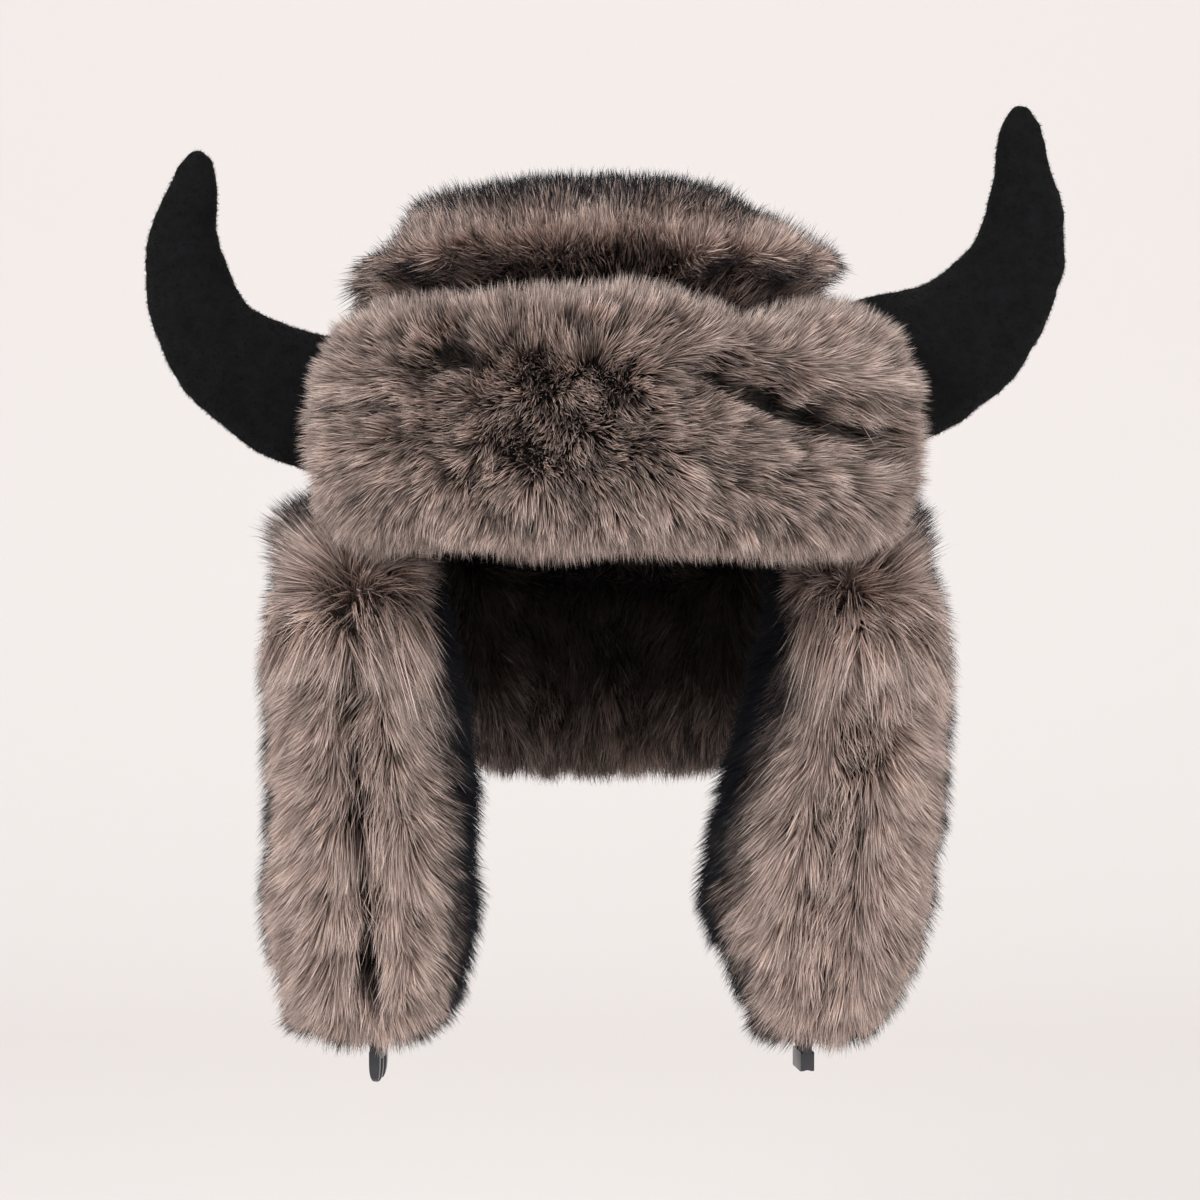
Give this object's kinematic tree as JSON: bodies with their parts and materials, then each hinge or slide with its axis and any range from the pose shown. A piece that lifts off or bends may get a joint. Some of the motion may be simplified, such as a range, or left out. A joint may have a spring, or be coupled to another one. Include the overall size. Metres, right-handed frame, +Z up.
{
  "type": "aviator hat",
  "caption": "Faux fur trapper style aviator hat with a turned-up front flap, hanging ear flaps and neck flap, and stuffed fleece horns.",
  "frame": {"origin": "inside top of the lining, where the hat sits on a head", "axes": "+Z up along the head, -Y out of the face opening, +X to the right as seen from the front"},
  "size_m": [0.4001, 0.2996, 0.4269],
  "materials": {
    "faux_fur": "deep pile faux fur, dark roots, taupe lengths and black tips",
    "lining_plush": "black short plush lining",
    "horn_fleece": "black brushed fleece",
    "webbing": "black woven ribbon",
    "buckle_plastic": "moulded black acetal, slightly glossy"
  },
  "bodies": {
    "root": {"lining": "lining_plush", "crown": "faux_fur", "front_flap": "faux_fur", "ear_flap_left": "faux_fur", "ear_flap_right": "faux_fur", "neck_flap": "faux_fur", "horn_left": "horn_fleece", "horn_right": "horn_fleece", "strap_left": "webbing", "strap_right": "webbing", "buckle_plug": "buckle_plastic", "buckle_socket": "buckle_plastic"}
  },
  "joints": []
}
